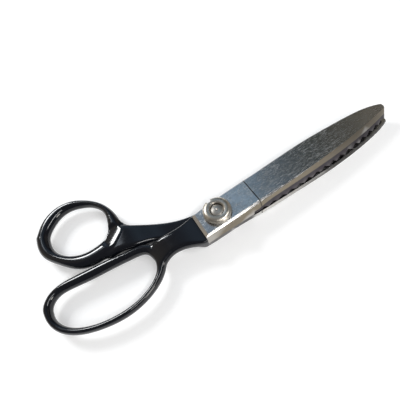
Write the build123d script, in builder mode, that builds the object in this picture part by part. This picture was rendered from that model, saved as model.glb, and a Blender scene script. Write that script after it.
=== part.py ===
from build123d import *
import os

# Pinking shears, closed, lying on the face of the back half with the pivot nut up.
# Millimetres. +X runs to the blade tips, +Y to the thumb bow, +Z up.
# The origin is on the pivot axis, in the flat face that the shears lie on.
os.makedirs("parts", exist_ok=True)

# ---- driving dimensions -------------------------------------------------------------
half_thickness = 6.6        # one half at the bolster, mating face to outer face
tip_thickness = 4.5         # one half at the tip
mating_gap = 0.06           # the ball race holds the two bolsters this far apart
heel_x = -13.0              # shoulder where the enamelled handle ends
seam_x = 22.7               # line across the face, where the blade starts to thin
tip_x = 122.0
bolster_end_x = 17.5        # end of the flat bolster, start of the hollowed blade
front_hollow_depth = 1.5
back_hollow_depth = 2.4
rim_chamfer = 0.9           # along the edges of each outer face
shoulder_length = 1.8       # sloping step from the blade face to the enamel
shoulder_height = 0.9
seam_width = 0.5
seam_depth = 0.3

tooth_pitch = 6.05
tooth_height = 1.5
tooth_clearance = 0.03
tooth_count = 17            # the last one runs out past the tip
front_ridge_radius = 28.9   # first ridge of the front strip, from the pivot axis
back_ridge_radius = front_ridge_radius - tooth_pitch / 2
strip_thickness = 3.15
front_strip_at_tip = 1.6
back_strip_at_tip = 2.5

tongue_length = 7.0         # the blade reaches this far into its handle
tongue_width = 6.0
tongue_thickness = 2.6

screw_diameter = 6.8
head_diameter = 13.0
head_height = 2.4
pin_hole_diameter = 1.6     # two, for a pin spanner
pin_hole_depth = 1.2
pin_hole_radius = 4.2
bush_diameter = 8.6
running_clearance = 0.03    # radial
ball_diameter = 1.588
ball_count = 16
race_radius = 6.0
race_width = 2.4
cage_thickness = 0.4
washer_diameter = 15.4
washer_thickness = 0.4
nut_diameter = 15.9
nut_height = 3.5
nut_crown_width = 2.5       # radial width of the rounding round the nut's face
nut_wall_height = 2.0
nut_bore_depth = 2.2        # wider bore round the end of the screw
nut_bore_widening = 0.5
screw_set_back = 1.1        # the end of the screw, below the nut's face
notch_angle = 98.0          # spanner notch, from +X about the pivot
notch_width = 2.8
notch_floor_radius = 5.9
slit_width = 0.7

mate_z = half_thickness
ridge = tooth_height / 2
race_inner = race_radius - race_width / 2
race_outer = race_radius + race_width / 2
nut_base = half_thickness + running_clearance + washer_thickness
nut_top = nut_base + nut_height
screw_end = nut_top - screw_set_back

# ---- outlines -----------------------------------------------------------------------
# A half is drawn face up about its mating plane, z = 0, spine on +Y, cutting edge on -Y.
# The back half is then turned over about the X axis.
front_face_spine = [(heel_x, 6.7), (6, 8.2), (23, 8.7), (40, 9.4), (56, 10.2), (72, 10.4),
                    (90, 9.8), (107, 8.6), (116, 7.0), (121.8, 5.0)]
front_base_spine = [(heel_x, 6.7), (6, 8.2), (23, 8.7), (40, 9.4), (56, 10.2), (72, 10.4),
                    (90, 9.8), (107, 8.3), (115, 6.5), (119.8, 4.3)]
back_face_spine = [(heel_x, 9.0), (0, 9.0), (12, 9.1), (24, 10.1), (36, 10.7), (54, 11.3),
                   (72, 11.7), (90, 11.1), (107, 9.2), (116, 7.3), (121.8, 5.4)]
back_base_spine = [(heel_x, 9.9), (4, 9.9), (24, 9.9), (48, 9.6), (72, 9.0),
                   (90, 7.9), (107, 6.1), (115, 4.7), (119.8, 3.2)]
face_edge = [(heel_x, -9.0), (20, -8.4), (60, -6.6), (92, -3.3), (121.8, 1.9)]
base_edge = [(heel_x, -10.3), (20, -10.4), (60, -10.4), (92, -8.7), (119.4, -3.6)]
tip_rounding = 0.7
strip_inner_edge = [(bolster_end_x - 2, -4.6), (60, -4.6), (92, -2.6), (124, 2.2)]

# Handle arms, cross-sections along X: x, lowest y, highest y, lowest z, highest z, corner.
finger_arm = [
    (heel_x, -10.9, 6.9, 0.05, 5.7, 0.9),
    (-16, -10.5, 6.6, 0.05, 5.9, 1.6),
    (-20, -8.7, 6.2, 0.05, 6.2, 2.3),
    (-28, -6.0, 6.4, 0.05, 6.2, 2.7),
    (-35, -6.3, 7.3, -0.8, 5.2, 2.7),
    (-39, -7.8, 7.6, -1.9, 4.0, 2.6),
    (-42, -8.4, 7.0, -2.4, 2.8, 2.4),
]
thumb_arm = [
    (heel_x, -9.3, 10.6, -5.7, -0.05, 0.9),
    (-17, -8.0, 11.8, -5.9, -0.05, 1.6),
    (-22, -3.5, 13.8, -6.2, -0.05, 2.3),
    (-28, 2.4, 16.8, -6.2, -0.05, 2.7),
    (-35, 7.9, 20.5, -5.5, 0.6, 2.7),
    (-43, 10.5, 25.1, -4.5, 2.2, 2.7),
    (-51, 12.5, 29.2, -3.6, 3.2, 2.7),
    (-58, 14.2, 27.0, -3.0, 3.0, 2.7),
    (-66, 16.3, 24.0, -2.8, 2.6, 2.5),
]

# Bows, stations round each loop: x, y, half width in plan, half height.
finger_bow = [
    (-39.8, -1.3, 3.1, 3.4), (-41.6, 4.6, 3.1, 3.5), (-46.6, 8.4, 2.7, 3.5),
    (-53.6, 9.7, 2.6, 3.5), (-63.7, 11.2, 2.9, 3.5), (-75.4, 12.5, 3.1, 3.5),
    (-86.7, 13.9, 2.9, 3.5), (-94.3, 14.4, 2.6, 3.5), (-101.2, 12.3, 2.3, 3.4),
    (-104.8, 6.0, 2.2, 3.3), (-103.8, -0.5, 1.9, 3.2), (-100.5, -6.0, 1.9, 3.0),
    (-94.5, -11.0, 1.8, 2.9), (-86.7, -14.6, 1.7, 2.8), (-78.9, -16.7, 1.7, 2.8),
    (-70.0, -17.8, 1.8, 2.8), (-62.0, -17.5, 1.8, 2.8), (-54.4, -15.8, 1.8, 2.9),
    (-47.7, -12.8, 1.9, 3.1), (-42.4, -8.3, 2.4, 3.3),
]
thumb_bow = [
    (-56.9, 25.0, 5.6, 3.6), (-54.0, 31.0, 4.2, 3.6), (-53.2, 37.5, 3.2, 3.5),
    (-53.9, 44.3, 2.2, 3.4), (-56.9, 50.8, 1.9, 3.3), (-61.0, 55.6, 1.9, 3.3),
    (-66.4, 59.6, 2.4, 3.4), (-74.4, 62.9, 3.0, 3.6), (-82.8, 62.5, 3.7, 3.7),
    (-90.5, 57.9, 4.0, 3.7), (-95.4, 51.3, 4.0, 3.7), (-95.9, 43.5, 3.7, 3.7),
    (-92.7, 35.0, 3.0, 3.6), (-87.0, 28.3, 3.1, 3.6), (-80.1, 23.2, 4.1, 3.6),
    (-72.5, 21.0, 4.7, 3.6), (-63.5, 21.1, 5.3, 3.6),
]
thumb_web = [(-50.3, 38.5), (-48.2, 30.0), (-42.4, 24.0)]   # fillet from the bow to the arm
web_low = -3.2
web_high = 1.6


# ---- blades -------------------------------------------------------------------------
def blade_outline(height, spine, edge):
    """Plan of one blade at a height: heel, spine, blunt tip and cutting edge."""
    with BuildSketch(Plane.XY.offset(height)) as outline:
        with BuildLine():
            Line(edge[0], spine[0])
            Spline(*spine)
            middle = (Vector(spine[-1]) + Vector(edge[-1])) / 2
            ThreePointArc(spine[-1], middle + Vector(tip_rounding, 0), edge[-1])
            Spline(*reversed(edge))
        make_face()
    return outline.sketch


def blade_blank(face_spine, base_spine):
    """Solid half from the lowest point of its teeth to its face, which thins to the tip.

    The chamfer of the cutting edge is made before the thinning, so it runs out mid-blade.
    """
    with BuildPart() as blank:
        add(blade_outline(-ridge - 0.05, base_spine, base_edge))
        add(blade_outline(half_thickness, face_spine, face_edge))
        loft(ruled=True)
        top = blank.faces().sort_by(Axis.Z)[-1]
        chamfer(top.edges().filter_by(lambda edge: edge.length > 50).sort_by(Axis.Y)[0], rim_chamfer)
        with BuildSketch(Plane.XZ):
            with BuildLine():
                Polyline(
                    (seam_x, half_thickness),
                    (tip_x + 2, half_thickness + 1),
                    (tip_x + 2, tip_thickness),
                    close=True,
                )
            make_face()
        extrude(amount=20, both=True, mode=Mode.SUBTRACT)
        upper = [face for face in blank.faces() if face.normal_at().Z > 0.99]
        rims = [edge for face in upper for edge in face.edges() if abs((edge % 0.5).Y) < 0.7]
        chamfer([edge for edge in rims if edge.center().Y > 0 and edge.length > 20], rim_chamfer)
    return blank.part


def strip_pocket(at_tip):
    """Space of the inlaid toothed strip: a band along the cutting edge, thinner at the tip."""
    start_x = bolster_end_x - 1
    low = -ridge - 1
    with BuildPart() as pocket:
        with BuildSketch(Plane.XZ):
            with BuildLine():
                ramp = Spline((start_x, 0), (23, 2.1), (34, strip_thickness))
                Polyline(
                    ramp @ 1,
                    (tip_x + 3, at_tip),
                    (tip_x + 3, low),
                    (start_x, low),
                    ramp @ 0,
                )
            make_face()
        extrude(amount=20, both=True)
        with BuildSketch(Plane.XY.offset(low)):
            with BuildLine():
                inner = Spline(*strip_inner_edge)
                Polyline(inner @ 1, (tip_x + 5, -20), (start_x - 1, -20), inner @ 0)
            make_face()
        extrude(amount=20, mode=Mode.INTERSECT)
    return pocket.part


def corrugation(first_ridge):
    """Everything under the zigzag mating surface, whose ridges are arcs about the pivot."""
    start_r = bolster_end_x - 6
    points = [(start_r, tooth_clearance), (first_ridge - 0.75 * tooth_pitch, tooth_clearance)]
    for index in range(tooth_count):
        ridge_r = first_ridge + index * tooth_pitch
        points.append((ridge_r - tooth_pitch / 2, tooth_clearance + ridge))
        points.append((ridge_r, tooth_clearance - ridge))
    end_r = first_ridge + tooth_count * tooth_pitch
    points += [(end_r, tooth_clearance), (end_r, -6), (start_r, -6)]
    with BuildPart() as tool:
        with BuildSketch(Plane.XZ.rotated((0, 0, -45))):
            with BuildLine():
                Polyline(*points, close=True)
            make_face()
        revolve(axis=Axis.Z, revolution_arc=70)
    return tool.part


def under_side(x_from, height):
    """Block under a height, from x_from to past the tip."""
    with BuildPart() as block:
        with Locations((x_from, 0, height)):
            Box(200, 60, 10, align=(Align.MIN, Align.CENTER, Align.MAX))
    return block.part


def race_recess():
    """Cage pocket and ball groove of one mating face."""
    with BuildPart() as recess:
        with BuildSketch():
            Circle(race_outer)
            Circle(race_inner, mode=Mode.SUBTRACT)
        extrude(amount=cage_thickness / 2 + 0.05, both=True)
        with BuildSketch(Plane.XZ):
            with Locations((race_radius, 0)):
                Circle(ball_diameter / 2 + 0.02)
        revolve(axis=Axis.Z)
    return recess.part


def face_details():
    """Sloping shoulder at the heel and the fine groove across the face."""
    with BuildPart() as details:
        with BuildSketch(Plane.XZ):
            with BuildLine():
                Polyline(
                    (heel_x - 1, half_thickness + 1),
                    (heel_x + shoulder_length, half_thickness + 1),
                    (heel_x + shoulder_length, half_thickness),
                    (heel_x, half_thickness - shoulder_height),
                    (heel_x - 1, half_thickness - shoulder_height),
                    close=True,
                )
            make_face()
            with BuildLine():
                Polyline(
                    (seam_x - seam_width / 2, half_thickness + 0.01),
                    (seam_x, half_thickness - seam_depth),
                    (seam_x + seam_width / 2, half_thickness + 0.01),
                    close=True,
                )
            make_face()
        extrude(amount=20, both=True)
    return details.part


def tongue():
    """Tongue that joins a blade to its handle."""
    with BuildPart() as block:
        with Locations((heel_x, 0, half_thickness / 2)):
            Box(
                tongue_length, tongue_width, tongue_thickness,
                align=(Align.MAX, Align.CENTER, Align.CENTER),
            )
    return block.part


def blade_body(blank, hole_diameter, hollow_depth, strip_at_tip):
    """Plated forging of one half, without its toothed strip."""
    with BuildPart() as body:
        add(blank)
        add(strip_pocket(strip_at_tip), mode=Mode.SUBTRACT)
        add(under_side(-50, mating_gap / 2), mode=Mode.SUBTRACT)
        add(under_side(bolster_end_x, hollow_depth), mode=Mode.SUBTRACT)
        add(race_recess(), mode=Mode.SUBTRACT)
        add(face_details(), mode=Mode.SUBTRACT)
        add(tongue())
        Cylinder(hole_diameter / 2, 40, mode=Mode.SUBTRACT)
    return body.part


def tooth_strip(blank, first_ridge, strip_at_tip):
    """Inlaid strip of hard steel with the pinking teeth."""
    with BuildPart() as strip:
        add(blank)
        add(strip_pocket(strip_at_tip), mode=Mode.INTERSECT)
        add(corrugation(first_ridge), mode=Mode.SUBTRACT)
    return strip.part


turn_over = Rot(180, 0, 0)
front_blank = blade_blank(front_face_spine, front_base_spine)
back_blank = blade_blank(back_face_spine, back_base_spine)

with BuildPart() as front_blade:
    add(blade_body(front_blank, bush_diameter, front_hollow_depth, front_strip_at_tip))

with BuildPart() as front_tooth_strip:
    add(tooth_strip(front_blank, front_ridge_radius, front_strip_at_tip))

with BuildPart() as back_blade:
    add(turn_over * blade_body(
        back_blank, screw_diameter, back_hollow_depth, back_strip_at_tip))
    with Locations((0, 0, -half_thickness)):
        Cylinder(
            head_diameter / 2, head_height,
            align=(Align.CENTER, Align.CENTER, Align.MIN), mode=Mode.SUBTRACT,
        )

with BuildPart() as back_tooth_strip:
    add(turn_over * tooth_strip(back_blank, back_ridge_radius, back_strip_at_tip))


# ---- handles ------------------------------------------------------------------------
def arm(sections):
    """Tapering arm through rounded cross-sections."""
    with BuildPart() as solid:
        for x, y_low, y_high, z_low, z_high, corner in sections:
            centre = (x, (y_low + y_high) / 2, (z_low + z_high) / 2)
            with BuildSketch(Plane(centre, x_dir=(0, 1, 0), z_dir=(1, 0, 0))):
                RectangleRounded(y_high - y_low, z_high - z_low, corner)
        loft()
    return solid.part


def bow(stations, middle):
    """Closed loop of oval cross-sections, lofted in two halves that meet face to face."""
    count = len(stations)
    halves = []
    for first, last in ((0, middle), (middle, count)):
        with BuildPart() as half:
            for index in range(first, last + 1):
                x, y, half_width, half_height = stations[index % count]
                before = stations[(index - 1) % count]
                after = stations[(index + 1) % count]
                along = Vector(after[0] - before[0], after[1] - before[1], 0)
                across = along.cross(Vector(0, 0, 1))
                with BuildSketch(Plane((x, y, 0), x_dir=across, z_dir=along)):
                    Ellipse(half_width, half_height)
            loft()
        halves.append(half.part)
    return halves


with BuildPart() as finger_handle:
    add(arm(finger_arm))
    for piece in bow(finger_bow, 9):
        add(piece)
    add(tongue(), mode=Mode.SUBTRACT)

with BuildPart() as thumb_handle:
    add(arm(thumb_arm))
    for piece in bow(thumb_bow, 10):
        add(piece)
    with BuildSketch(Plane.XY.offset(web_low)):
        with BuildLine():
            ThreePointArc(*thumb_web)
            Polyline(thumb_web[2], (-44, 20), (-53, 28), thumb_web[0])
        make_face()
    extrude(amount=web_high - web_low)
    add(turn_over * tongue(), mode=Mode.SUBTRACT)


# ---- pivot --------------------------------------------------------------------------
with BuildPart() as pivot_screw:
    with BuildSketch(Plane.XZ):
        with BuildLine():
            Polyline(
                (0, -half_thickness),
                (head_diameter / 2 - 0.35, -half_thickness),
                (head_diameter / 2 - 0.05, 0.3 - half_thickness),
                (head_diameter / 2 - 0.05, head_height - half_thickness),
                (screw_diameter / 2, head_height - half_thickness),
                (screw_diameter / 2, screw_end - 0.45),
            )
            ThreePointArc(
                (screw_diameter / 2, screw_end - 0.45),
                (screw_diameter / 4, screw_end - 0.1),
                (0, screw_end),
            )
            Line((0, screw_end), (0, -half_thickness))
        make_face()
    revolve(axis=Axis.Z)
    with BuildSketch(Plane.XY.offset(-half_thickness)):
        with PolarLocations(pin_hole_radius, 2):
            Circle(pin_hole_diameter / 2)
    extrude(amount=pin_hole_depth, mode=Mode.SUBTRACT)
    with Locations((0, 0, screw_end - 0.2)):
        Cone(0.15, 0.9, 0.6, mode=Mode.SUBTRACT)

with BuildPart() as pivot_bush:
    with BuildSketch(Plane.XY.offset(0.1)):
        Circle(bush_diameter / 2)
        Circle(screw_diameter / 2 + running_clearance, mode=Mode.SUBTRACT)
    extrude(amount=half_thickness - 0.15)

with BuildPart() as ball_cage:
    with BuildSketch():
        Circle(race_outer - 0.05)
        Circle(race_inner + 0.05, mode=Mode.SUBTRACT)
        with PolarLocations(race_radius, ball_count):
            Circle(ball_diameter / 2 + 0.03, mode=Mode.SUBTRACT)
    extrude(amount=cage_thickness / 2, both=True)

with BuildPart() as thrust_balls:
    with PolarLocations(race_radius, ball_count):
        Sphere(ball_diameter / 2)

with BuildPart() as spring_washer:
    with BuildSketch(Plane.XY.offset(half_thickness + running_clearance)):
        Circle(washer_diameter / 2)
        Circle(screw_diameter / 2 + 0.1, mode=Mode.SUBTRACT)
    extrude(amount=washer_thickness)

with BuildPart() as pivot_nut:
    with BuildSketch(Plane.XZ):
        with BuildLine():
            Polyline(
                (screw_diameter / 2, nut_base),
                (nut_diameter / 2 - 0.3, nut_base),
                (nut_diameter / 2, nut_base + 0.3),
                (nut_diameter / 2, nut_base + nut_wall_height),
            )
            TangentArc(
                (nut_diameter / 2 - nut_crown_width, nut_top),
                (nut_diameter / 2, nut_base + nut_wall_height),
                tangent=(1, 0),
            )
            Polyline(
                (nut_diameter / 2 - nut_crown_width, nut_top),
                (screw_diameter / 2 + 2 * nut_bore_widening, nut_top - 0.1),
                (screw_diameter / 2 + nut_bore_widening, nut_top - 0.6),
                (screw_diameter / 2 + nut_bore_widening, nut_top - nut_bore_depth),
                (screw_diameter / 2, nut_top - nut_bore_depth),
                (screw_diameter / 2, nut_base),
            )
        make_face()
    revolve(axis=Axis.Z)
    with BuildSketch(Plane.XY.offset(nut_base).rotated((0, 0, notch_angle))):
        with Locations((notch_floor_radius, 0)):
            Rectangle(10, notch_width, align=(Align.MIN, Align.CENTER))
    extrude(amount=nut_height, mode=Mode.SUBTRACT)
    with BuildSketch(Plane.XY.offset(nut_top - nut_bore_depth).rotated((0, 0, notch_angle))):
        with Locations((screw_diameter / 2, 0)):
            Rectangle(4, slit_width, align=(Align.MIN, Align.CENTER))
    extrude(amount=nut_bore_depth, mode=Mode.SUBTRACT)


# ---- export -------------------------------------------------------------------------
pieces = {
    "front_blade": front_blade,
    "front_tooth_strip": front_tooth_strip,
    "finger_handle": finger_handle,
    "pivot_bush": pivot_bush,
    "back_blade": back_blade,
    "back_tooth_strip": back_tooth_strip,
    "thumb_handle": thumb_handle,
    "pivot_screw": pivot_screw,
    "spring_washer": spring_washer,
    "pivot_nut": pivot_nut,
    "ball_cage": ball_cage,
    "thrust_balls": thrust_balls,
}
for name, piece in pieces.items():
    piece.part.label = name
    export_step(Pos(0, 0, mate_z) * piece.part, "parts/" + name + ".step")
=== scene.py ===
import math

import bpy
import numpy as np
from mathutils import Matrix, Vector


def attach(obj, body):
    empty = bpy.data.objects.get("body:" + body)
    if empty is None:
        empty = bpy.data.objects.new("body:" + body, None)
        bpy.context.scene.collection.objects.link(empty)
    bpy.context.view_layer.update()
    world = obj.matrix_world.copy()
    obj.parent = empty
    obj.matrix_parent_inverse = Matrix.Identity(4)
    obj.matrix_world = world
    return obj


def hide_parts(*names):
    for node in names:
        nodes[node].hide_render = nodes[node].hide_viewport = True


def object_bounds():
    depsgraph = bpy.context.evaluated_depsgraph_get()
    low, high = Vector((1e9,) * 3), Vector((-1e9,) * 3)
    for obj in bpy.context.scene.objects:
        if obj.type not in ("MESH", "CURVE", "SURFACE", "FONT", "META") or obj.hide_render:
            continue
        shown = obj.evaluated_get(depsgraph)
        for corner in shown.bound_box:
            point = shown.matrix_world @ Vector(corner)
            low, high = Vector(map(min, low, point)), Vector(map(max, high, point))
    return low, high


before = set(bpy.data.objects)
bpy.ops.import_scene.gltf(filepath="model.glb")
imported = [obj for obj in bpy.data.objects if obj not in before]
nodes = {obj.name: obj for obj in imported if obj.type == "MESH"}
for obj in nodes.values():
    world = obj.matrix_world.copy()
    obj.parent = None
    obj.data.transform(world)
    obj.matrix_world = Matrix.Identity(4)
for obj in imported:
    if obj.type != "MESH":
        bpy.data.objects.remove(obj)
cad_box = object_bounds()
MM = 0.001
WELD = 0.002 * MM              # vertices closer than this are one
SKIN_CELL = 0.36 * MM          # grain of the handle skins' remesh
BEVEL_ANGLE = 22               # degrees between faces, above which an edge is rounded
USUAL_BEVEL = 0.06             # mm
SEAM_X = 22.7                  # mm, the fine groove across the blade face
RING_PITCH = 0.28              # mm between turning marks
FLOOR_HALF = 3.0               # m
FLOOR_GAP = 0.1 * MM           # under the lowest face
CAMERA_ROLL = -19.663          # degrees

# ---- meshes -------------------------------------------------------------------------
def welded_copy(node, name):
    """A free copy of a CAD node's mesh, with the vertices that share a place joined."""
    piece = bpy.data.objects.new(name, nodes[node].data.copy())
    bpy.context.scene.collection.objects.link(piece)
    weld = piece.modifiers.new("weld", "WELD")
    weld.merge_threshold = WELD
    bake(piece)
    return piece


def bake(piece):
    """Turns a piece's modifiers into its mesh."""
    graph = bpy.context.evaluated_depsgraph_get()
    graph.update()
    mesh = bpy.data.meshes.new_from_object(piece.evaluated_get(graph))
    piece.modifiers.clear()
    piece.data = mesh


def coordinates(mesh):
    co = np.empty(len(mesh.vertices) * 3)
    mesh.vertices.foreach_get("co", co)
    return co.reshape(-1, 3)


def neighbours(mesh):
    edges = np.empty(len(mesh.edges) * 2, int)
    mesh.edges.foreach_get("vertices", edges)
    return edges.reshape(-1, 2)


def average(values, edges, count):
    """Mean of each vertex's neighbours."""
    total = np.zeros_like(values)
    np.add.at(total, edges[:, 0], values[edges[:, 1]])
    np.add.at(total, edges[:, 1], values[edges[:, 0]])
    return total / count[:, None]


def smooth(mesh, rounds, weight=None, keep_volume=True):
    """Smooths a mesh, pushing back after each round so that thin rods keep their width."""
    co = coordinates(mesh)
    edges = neighbours(mesh)
    count = np.bincount(edges.ravel(), minlength=len(co)).astype(float)
    share = np.ones((len(co), 1)) if weight is None else weight[:, None]
    for _ in range(rounds):
        co += 0.5 * share * (average(co, edges, count) - co)
        if keep_volume:
            co -= 0.515 * share * (average(co, edges, count) - co)
    mesh.vertices.foreach_set("co", co.ravel())
    mesh.update()


def near(co, places):
    """How close each vertex is to any of the places: 1 at the middle, 0 past the radius."""
    best = np.zeros(len(co))
    for x, y, z, radius in places:
        gap = np.linalg.norm(co - np.array((x, y, z)) * MM, axis=1) / (radius * MM)
        best = np.maximum(best, np.clip(1.5 - 1.5 * gap, 0, 1))
    return best


def scoop(mesh, middle, radius, crest, azimuth, tilt):
    """Flattens the top of a ring into a face that slopes from a crest down to the hole."""
    co = coordinates(mesh)
    normals = np.empty(len(co) * 3)
    mesh.vertices.foreach_get("normal", normals)
    up = np.clip((normals.reshape(-1, 3)[:, 2] - 0.3) / 0.4, 0, 1)
    turn = math.radians(azimuth)
    along = (co[:, 0] / MM - crest[0]) * math.cos(turn)
    along = along + (co[:, 1] / MM - crest[1]) * math.sin(turn)
    gap = np.hypot(co[:, 0] / MM - middle[0], co[:, 1] / MM - middle[1])
    share = up * np.clip((radius - gap) / 3.0, 0, 1) * np.clip((along + 0.2) / 0.8, 0, 1)
    share = share * share * (3 - 2 * share)
    face = (crest[2] - math.tan(math.radians(tilt)) * along - 0.016 * along ** 2) * MM
    face = np.minimum(face, co[:, 2] + 0.25 * MM)
    co[:, 2] += share * (face - co[:, 2])
    mesh.vertices.foreach_set("co", co.ravel())
    mesh.update()


def handle(node, name, places):
    """Enamelled handle: one skin over the arm and bow, with soft fillets where they meet."""
    piece = welded_copy(node, name)
    remesh = piece.modifiers.new("skin", "REMESH")
    remesh.mode = "VOXEL"
    remesh.voxel_size = SKIN_CELL
    bake(piece)
    smooth(piece.data, 14)
    smooth(piece.data, 60, near(coordinates(piece.data), places), keep_volume=False)
    smooth(piece.data, 10)
    piece.data.shade_smooth()
    return piece


finger = handle("finger_handle", "finger_handle_skin", [(-40, -3, 8.5, 11), (-38, 6, 8, 6)])
thumb_fillets = [(-56, 26, 8, 10), (-66, 18, 6, 8), (-46, 27, 7, 8)]
thumb = handle("thumb_handle", "thumb_handle_skin", thumb_fillets)
scoop(thumb.data, (-56.9, 25.4), 8.0, (-53.4, 22.5, 10.15), 128, 8.8)
smooth(thumb.data, 8)
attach(finger, "front_half")
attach(thumb, "back_half")
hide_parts("finger_handle")
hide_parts("thumb_handle")


edge_width = {"front_blade": 0.14, "back_blade": 0.14, "pivot_nut": 0.12, "pivot_screw": 0.08}


def soften(piece, width):
    """Rounds a CAD node's sharp edges a little, as grinding and plating leave them."""
    weld = piece.modifiers.new("weld", "WELD")
    weld.merge_threshold = WELD
    bevel = piece.modifiers.new("edges", "BEVEL")
    bevel.limit_method = "ANGLE"
    bevel.angle_limit = math.radians(BEVEL_ANGLE)
    bevel.width = width * MM
    bevel.segments = 2
    bevel.use_clamp_overlap = True
    even = piece.modifiers.new("normals", "WEIGHTED_NORMAL")
    even.keep_sharp = False
    even.weight = 60
    piece.data.shade_smooth()


# ---- materials ----------------------------------------------------------------------
class Look:
    """One procedural material. Positions are the CAD frame's, so a pattern rides with its piece."""

    def __init__(self, name):
        self.material = bpy.data.materials.new(name)
        self.material.use_nodes = True
        self.tree = self.material.node_tree
        self.shader = self.tree.nodes["Principled BSDF"]
        self.place = self.node("ShaderNodeTexCoord").outputs["Object"]
        self.seed = 0.0

    def node(self, kind, **settings):
        made = self.tree.nodes.new(kind)
        for key, value in settings.items():
            setattr(made, key, value)
        return made

    def put(self, socket, value):
        if isinstance(value, bpy.types.NodeSocket):
            self.tree.links.new(value, socket)
        elif isinstance(value, tuple) and len(value) == 3 and socket.type == "RGBA":
            socket.default_value = (*value, 1)
        else:
            socket.default_value = value

    def math(self, operation, *values):
        made = self.node("ShaderNodeMath", operation=operation)
        for socket, value in zip(made.inputs, values):
            self.put(socket, value)
        return made.outputs[0]

    def step(self, value, low, high, start=0.0, stop=1.0):
        """Smooth rise from start to stop as the value goes from low to high."""
        made = self.node("ShaderNodeMapRange", interpolation_type="SMOOTHSTEP")
        for socket, item in zip(made.inputs, (value, low, high, start, stop)):
            self.put(socket, item)
        return made.outputs[0]

    def axis(self, index, vector=None):
        made = self.node("ShaderNodeSeparateXYZ")
        self.put(made.inputs[0], self.place if vector is None else vector)
        return made.outputs[index]

    def noise(self, size, detail=2.0, rough=0.5, stretch=(1, 1, 1), turn=0.0):
        """Noise whose grain is about size mm, drawn out along the axes by stretch."""
        self.seed += 7.3
        mapping = self.node("ShaderNodeMapping")
        self.put(mapping.inputs["Vector"], self.place)
        mapping.inputs["Location"].default_value = (self.seed, -self.seed, self.seed / 2)
        mapping.inputs["Rotation"].default_value = (0, 0, math.radians(turn))
        mapping.inputs["Scale"].default_value = [1 / (size * MM * item) for item in stretch]
        made = self.node("ShaderNodeTexNoise")
        self.put(made.inputs["Vector"], mapping.outputs[0])
        self.put(made.inputs["Scale"], 1.0)
        self.put(made.inputs["Detail"], detail)
        self.put(made.inputs["Roughness"], rough)
        return made.outputs[0]

    def mix(self, factor, first, second):
        made = self.node("ShaderNodeMix", data_type="RGBA")
        self.put(made.inputs[0], factor)
        self.put(made.inputs[6], first)
        self.put(made.inputs[7], second)
        return made.outputs[2]

    def relief(self, height, depth):
        """Bump of the given depth in mm."""
        made = self.node("ShaderNodeBump")
        made.inputs["Strength"].default_value = 1.0
        made.inputs["Distance"].default_value = depth * MM
        self.put(made.inputs["Height"], height)
        self.put(self.shader.inputs["Normal"], made.outputs[0])

    def upright(self):
        """1 on faces that stand up, 0 on faces that look up or down."""
        geometry = self.node("ShaderNodeNewGeometry")
        lean = self.math("ABSOLUTE", self.axis(2, geometry.outputs["Normal"]))
        return self.step(lean, 0.69, 0.63)

    def edge(self):
        """1 on sharp outer edges, where a finish wears first."""
        geometry = self.node("ShaderNodeNewGeometry")
        return self.step(geometry.outputs["Pointiness"], 0.52, 0.6)

    def crevice_shade(self, reach):
        """Mask for painted shade: 1 deep in corners and gaps, 0 in the open, looking as far as
        reach mm.
        """
        made = self.node("ShaderNodeAmbientOcclusion", samples=6)
        made.inputs["Distance"].default_value = reach * MM
        return self.step(made.outputs["AO"], 0.75, 0.35)

    def scratches(self, angles, length, width, amount):
        """Fine straight marks at several angles."""
        total = 0.0
        for angle in angles:
            lines = self.noise(1, 1, 0.5, (length, width, width), angle)
            total = self.math("ADD", total, self.step(lines, 0.70 - amount, 0.74 - amount))
        return self.math("MINIMUM", total, 1.0)

    def finish(self, colour, metallic, rough):
        self.put(self.shader.inputs["Base Color"], colour)
        self.put(self.shader.inputs["Metallic"], metallic)
        self.put(self.shader.inputs["Roughness"], rough)
        return self.material


def enamel_look():
    """Baked gloss enamel: slight orange peel, handling haze and dust, thin at the edges."""
    look = Look("enamel")
    haze = look.noise(9, 3, 0.6)
    dust = look.step(look.noise(0.55, 1), 0.76, 0.80)
    marks = look.scratches((25, -40, 80), 7, 0.10, 0.0)
    colour = look.mix(haze, (0.0028, 0.0036, 0.0060), (0.0048, 0.0056, 0.0082))
    colour = look.mix(look.math("MULTIPLY", dust, 0.4), colour, (0.035, 0.035, 0.04))
    colour = look.mix(look.math("MULTIPLY", look.edge(), 0.2), colour, (0.03, 0.03, 0.034))
    rough = look.step(haze, 0.3, 0.75, 0.075, 0.14)
    rough = look.math("ADD", rough, look.math("MULTIPLY", marks, 0.12))
    peel = look.math("ADD", look.noise(2.2, 1), look.math("MULTIPLY", dust, 0.4))
    look.relief(peel, 0.010)
    return look.finish(colour, 0.0, rough)


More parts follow.
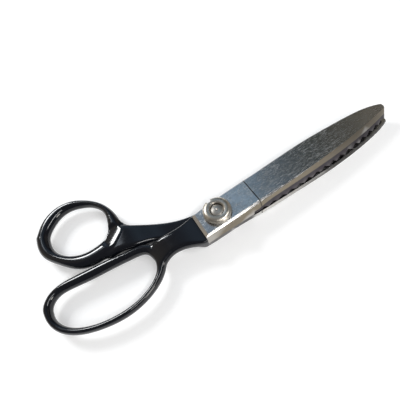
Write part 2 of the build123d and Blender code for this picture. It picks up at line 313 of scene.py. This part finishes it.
def plate_look(name, wall_tones_and_painted_reflection, tip_shade, heel_shade):
    """Nickel plate over ground steel: clouded, pitted and scratched, walls left dull; with painted
    glints, a painted sheen near the pivot, painted shade in corners and on the walls, and a painted
    reflection on the back blade's walls.
    """
    look = Look(name)
    cloud = look.noise(11, 4, 0.62)
    bloom = look.noise(3.2, 4, 0.7)
    grain = look.noise(0.75, 2, 0.6)
    geometry = look.node("ShaderNodeNewGeometry")
    level = look.step(look.axis(2, geometry.outputs["Normal"]), 0.93, 0.985)
    along = look.axis(0)
    worn = look.math(
        "MULTIPLY", look.step(along, 0.018, 0.034), look.step(along, 0.105, 0.07))
    pits = look.step(look.noise(1.0, 3, 0.65), 0.60, 0.69)
    pits = look.math("MULTIPLY", pits, look.step(bloom, 0.40, 0.60))
    marks = look.scratches((20, -35, 62, -75), 5, 0.13, 0.025)
    # Painted glints: specks and scratch lines in the worn band are turned near white.
    painted_glints = look.math("MULTIPLY", look.step(look.noise(0.8, 2, 0.6), 0.68, 0.74), worn)
    painted_glints = look.math("MAXIMUM", painted_glints, look.math("MULTIPLY", marks, worn))
    long_marks = look.scratches((3, -4), 26, 0.12, 0.01)
    grind = look.noise(0.35, 2, 0.5, (0.6, 30, 1))
    colour = look.mix(look.step(cloud, 0.35, 0.7), (0.66, 0.665, 0.67), (0.53, 0.53, 0.52))
    colour = look.mix(look.math("MULTIPLY", pits, 0.8), colour, (0.20, 0.19, 0.175))
    colour = look.mix(look.math("MULTIPLY", painted_glints, 0.35), colour, (0.92, 0.92, 0.92))
    # Wall colours: the wall's own tone, and for the back blade a painted reflection of the lit
    # floor.
    wall = look.mix(grind, *wall_tones_and_painted_reflection)
    wall = look.mix(look.step(bloom, 0.5, 0.7, 0.0, 0.45), wall, (0.20, 0.17, 0.13))
    # Painted shade: the wall darkens towards the tip, as far as tip_shade asks.
    wall = look.mix(look.step(along, 0.03, 0.080, 0.0, tip_shade), wall, (0.03, 0.028, 0.026))
    # Painted shadow: the wall goes near black at the heel, as far as heel_shade asks.
    wall = look.mix(look.step(along, 0.020, 0.015, 0.0, heel_shade), wall, (0.012, 0.011, 0.010))
    upright = look.upright()
    colour = look.mix(upright, colour, wall)
    colour = look.mix(look.math("MULTIPLY", look.edge(), 0.5), colour, (0.72, 0.71, 0.69))
    groove = look.math("ABSOLUTE", look.math("SUBTRACT", along, SEAM_X * MM))
    grime = look.step(groove, 0.42 * MM, 0.22 * MM)
    colour = look.mix(look.math("MULTIPLY", grime, 0.9), colour, (0.05, 0.045, 0.04))
    # Hazy frost near the pivot: a rougher face, and a near-white painted sheen in its colour.
    frost_and_sheen = look.math("MULTIPLY", look.step(bloom, 0.46, 0.62), look.step(along, 0.05, 0.01))
    painted_sheen = look.math("MULTIPLY", frost_and_sheen, look.math("MULTIPLY", level, 0.55))
    colour = look.mix(painted_sheen, colour, (0.90, 0.88, 0.84))
    # Painted shade: colour darkens in corners and gaps, found by ambient occlusion.
    colour = look.mix(look.crevice_shade(1.5), colour, (0.10, 0.09, 0.08))
    rough = look.step(cloud, 0.3, 0.72, 0.11, 0.19)
    frost_rough = look.math("MULTIPLY", frost_and_sheen, look.math("MULTIPLY", level, 0.12))
    rough = look.math("ADD", rough, frost_rough)
    mark_rough = look.math("ADD", 0.07, look.math("MULTIPLY", worn, 0.20))
    rough = look.math("ADD", rough, look.math("MULTIPLY", marks, mark_rough))
    rough = look.math("ADD", rough, look.math("MULTIPLY", long_marks, 0.12))
    rough = look.math("ADD", rough, look.math("MULTIPLY", painted_glints, 0.08))
    rough = look.math("ADD", rough, look.math("MULTIPLY", upright, 0.16))
    hill = look.math("MULTIPLY", grain, look.math("ADD", 0.35, worn))
    hill = look.math("SUBTRACT", hill, look.math("MULTIPLY", pits, 0.9))
    hill = look.math("SUBTRACT", hill, look.math("MULTIPLY", marks, 0.5))
    hill = look.math("SUBTRACT", hill, look.math("MULTIPLY", long_marks, 0.4))
    hill = look.math("MULTIPLY", hill, look.math("ADD", 0.15, look.math("MULTIPLY", level, 0.85)))
    hill = look.math("ADD", hill, look.math("MULTIPLY", upright, grind))
    look.relief(hill, 0.012)
    return look.finish(colour, 1.0, rough)


def tooth_look():
    """Hardened steel, dark from heat, with grinding lines across the teeth."""
    look = Look("tooth_steel")
    heat = look.noise(6, 3, 0.6)
    grind = look.noise(0.3, 2, 0.6, (30, 0.6, 1), 12)
    stain = look.step(look.noise(1.3, 3, 0.65), 0.55, 0.7)
    colour = look.mix(heat, (0.050, 0.045, 0.054), (0.080, 0.073, 0.080))
    colour = look.mix(look.math("MULTIPLY", stain, 0.6), colour, (0.04, 0.033, 0.033))
    colour = look.mix(look.math("MULTIPLY", look.edge(), 0.6), colour, (0.4, 0.39, 0.38))
    rough = look.step(grind, 0.3, 0.7, 0.30, 0.44)
    rough = look.math("ADD", rough, look.math("MULTIPLY", stain, 0.1))
    look.relief(look.math("SUBTRACT", grind, stain), 0.010)
    return look.finish(colour, 1.0, rough)


def turned_look(name, light, dark, rings, smooth_rough, pit_share):
    """Turned steel: fine rings about the pivot axis, pits, stains and a dull skin, with painted
    shade in corners and gaps.
    """
    look = Look(name)
    cloud = look.noise(5, 4, 0.65)
    across = look.axis(0)
    beside = look.axis(1)
    radius = look.math("SQRT", look.math(
        "ADD", look.math("MULTIPLY", across, across), look.math("MULTIPLY", beside, beside)))
    ring = look.math("SINE", look.math("MULTIPLY", radius, 2 * math.pi / (RING_PITCH * MM)))
    pits = look.step(look.noise(0.8, 2, 0.55), 0.70 - pit_share, 0.76 - pit_share)
    marks = look.scratches((10, 55, -50), 3, 0.10, 0.02)
    colour = look.mix(look.step(cloud, 0.35, 0.7), light, dark)
    colour = look.mix(look.math("MULTIPLY", pits, 0.8), colour, (0.16, 0.14, 0.12))
    colour = look.mix(look.math("MULTIPLY", look.edge(), 0.5), colour, (0.75, 0.74, 0.72))
    # Painted shade: colour darkens in corners and gaps, found by ambient occlusion.
    colour = look.mix(look.math("MULTIPLY", look.crevice_shade(0.9), 0.9), colour, (0.05, 0.042, 0.036))
    rough = look.step(cloud, 0.3, 0.75, smooth_rough, smooth_rough + 0.12)
    rough = look.math("ADD", rough, look.math("MULTIPLY", marks, 0.15))
    hill = look.math("MULTIPLY", ring, rings)
    hill = look.math("SUBTRACT", hill, look.math("ADD", pits, look.math("MULTIPLY", marks, 0.4)))
    hill = look.math("ADD", hill, look.math("MULTIPLY", look.noise(1.4, 2), 0.9))
    look.relief(hill, 0.010)
    return look.finish(colour, 1.0, rough)


def dress(piece, material):
    piece.data.materials.clear()
    piece.data.materials.append(material)


enamel = enamel_look()
front_plate = plate_look("plated_steel", ((0.27, 0.235, 0.18), (0.22, 0.19, 0.145)), 0.30, 0.0)
# The back blade's copy: walls painted bright as a painted reflection of the lit floor, with painted
# shade towards the tip and a painted shadow at the heel.
back_plate = plate_look("plated_steel_back", ((0.66, 0.65, 0.62), (0.50, 0.49, 0.47)), 0.92, 0.95)
teeth = tooth_look()
nut_steel = turned_look("nut_steel", (0.60, 0.56, 0.49), (0.38, 0.35, 0.30), 0.10, 0.27, 0.05)
screw_steel = turned_look("screw_steel", (0.60, 0.56, 0.50), (0.40, 0.37, 0.33), 0.35, 0.27, 0.02)
ball_steel = turned_look("ball_steel", (0.62, 0.62, 0.63), (0.55, 0.55, 0.55), 0.0, 0.08, -0.04)
bronze = turned_look("bronze", (0.58, 0.38, 0.17), (0.42, 0.25, 0.10), 0.35, 0.24, 0.0)

for piece in (finger, thumb):
    dress(piece, enamel)
metal = {
    "front_blade": front_plate, "back_blade": back_plate,
    "front_tooth_strip": teeth, "back_tooth_strip": teeth,
    "pivot_nut": nut_steel, "pivot_screw": screw_steel, "spring_washer": screw_steel,
    "pivot_bush": bronze, "ball_cage": bronze, "thrust_balls": ball_steel,
}
for name, material in metal.items():
    dress(nodes[name], material)
    soften(nodes[name], edge_width.get(name, USUAL_BEVEL))

# ---- stage --------------------------------------------------------------------------
floor_mesh = bpy.data.meshes.new("floor")
corners = [(x * FLOOR_HALF, y * FLOOR_HALF, 0) for x, y in ((-1, -1), (1, -1), (1, 1), (-1, 1))]
floor_mesh.from_pydata(corners, [], [(0, 1, 2, 3)])
floor = bpy.data.objects.new("floor", floor_mesh)
bpy.context.scene.collection.objects.link(floor)
floor.location.z = cad_box[0].z - FLOOR_GAP
paper = Look("paper")
sheet = paper.mix(paper.noise(4, 3), (0.76, 0.76, 0.76), (0.80, 0.80, 0.80))
paper.relief(paper.noise(0.6, 2), 0.01)
paper.put(paper.shader.inputs["Emission Color"], (1.0, 1.0, 1.0))
paper.put(paper.shader.inputs["Emission Strength"], 0.30)
dress(floor, paper.finish(sheet, 0.0, 0.7))


def direction(azimuth, height):
    """Unit vector at an azimuth from +X towards +Y and a height above the floor, degrees."""
    turn, lift = math.radians(azimuth), math.radians(height)
    level = math.cos(lift)
    return Vector((level * math.cos(turn), level * math.sin(turn), math.sin(lift)))


def lamp(name, azimuth, height, width, tall, radiance, colour):
    """Soft box one metre from the pivot, facing it; its size in metres, its radiance in white."""
    light = bpy.data.lights.new(name, "AREA")
    light.shape = "RECTANGLE"
    light.size = width
    light.size_y = tall
    light.color = colour
    light.energy = radiance * math.pi * width * tall
    made = bpy.data.objects.new(name, light)
    bpy.context.scene.collection.objects.link(made)
    made.location = direction(azimuth, height)
    made.rotation_euler = made.location.to_track_quat("Z", "Y").to_euler()


lamp("window", 113, 35, 0.27, 0.26, 26, (0.97, 0.99, 1.0))
lamp("window_top", 113, 52, 0.25, 0.10, 3, (0.80, 0.90, 1.0))
lamp("front_box", -75, 23, 0.30, 0.40, 8, (1.0, 0.97, 0.92))
lamp("long_box", -66, 58, 1.0, 0.14, 13, (1.0, 1.0, 1.0))

world = bpy.data.worlds.new("studio")
bpy.context.scene.world = world
world.use_nodes = True
tree = world.node_tree
sky = tree.nodes["Background"]
way = tree.nodes.new("ShaderNodeTexCoord").outputs["Generated"]
split = tree.nodes.new("ShaderNodeSeparateXYZ")
tree.links.new(way, split.inputs[0])
band = tree.nodes.new("ShaderNodeValToRGB")
stops = [
    (0.00, (0.48, 0.42, 0.34)), (0.25, (0.30, 0.27, 0.23)), (0.45, (0.16, 0.17, 0.19)),
    (0.52, (0.19, 0.22, 0.27)), (0.61, (0.31, 0.42, 0.54)), (0.65, (0.22, 0.31, 0.40)),
    (0.70, (0.135, 0.165, 0.195)), (0.733, (0.085, 0.098, 0.10)), (0.765, (0.065, 0.07, 0.066)),
    (0.79, (0.08, 0.08, 0.07)), (0.812, (0.11, 0.105, 0.088)), (0.85, (0.18, 0.16, 0.13)),
    (0.95, (0.30, 0.27, 0.23)),
]
for index, (place, colour) in enumerate(stops):
    stop = band.color_ramp.elements[index] if index < 2 else band.color_ramp.elements.new(place)
    stop.position = place
    stop.color = (*colour, 1)
half = tree.nodes.new("ShaderNodeMapRange")
half.inputs[1].default_value = -1.0
half.inputs[2].default_value = 1.0
tree.links.new(split.outputs[0], half.inputs[0])
tree.links.new(half.outputs[0], band.inputs[0])
side = tree.nodes.new("ShaderNodeMapRange")
side.inputs[1].default_value = -0.1
side.inputs[2].default_value = 0.25
tree.links.new(split.outputs[1], side.inputs[0])
blend = tree.nodes.new("ShaderNodeMix")
blend.data_type = "RGBA"
tree.links.new(side.outputs[0], blend.inputs[0])
blend.inputs[6].default_value = (0.13, 0.13, 0.135, 1)
tree.links.new(band.outputs[0], blend.inputs[7])
tree.links.new(blend.outputs[2], sky.inputs["Color"])
sky.inputs["Strength"].default_value = 1.0
bpy.context.scene.view_settings.view_transform = "Standard"

# The camera stands in front of the finger bow's side and looks down on the shears.
camera_data = bpy.data.cameras.new("camera")
camera_data.sensor_width = 36
camera_data.lens = 27
camera_data.clip_start = 0.01
camera = bpy.data.objects.new("camera", camera_data)
bpy.context.scene.collection.objects.link(camera)
camera.location = (-0.0254, -0.07252, 0.15922)
target = Vector((-0.00293, 0.01608, 0.0066))
aim = (target - camera.location).to_track_quat("-Z", "Y").to_matrix()
camera.rotation_euler = (aim @ Matrix.Rotation(math.radians(CAMERA_ROLL), 3, "Z")).to_euler()
bpy.context.scene.camera = camera
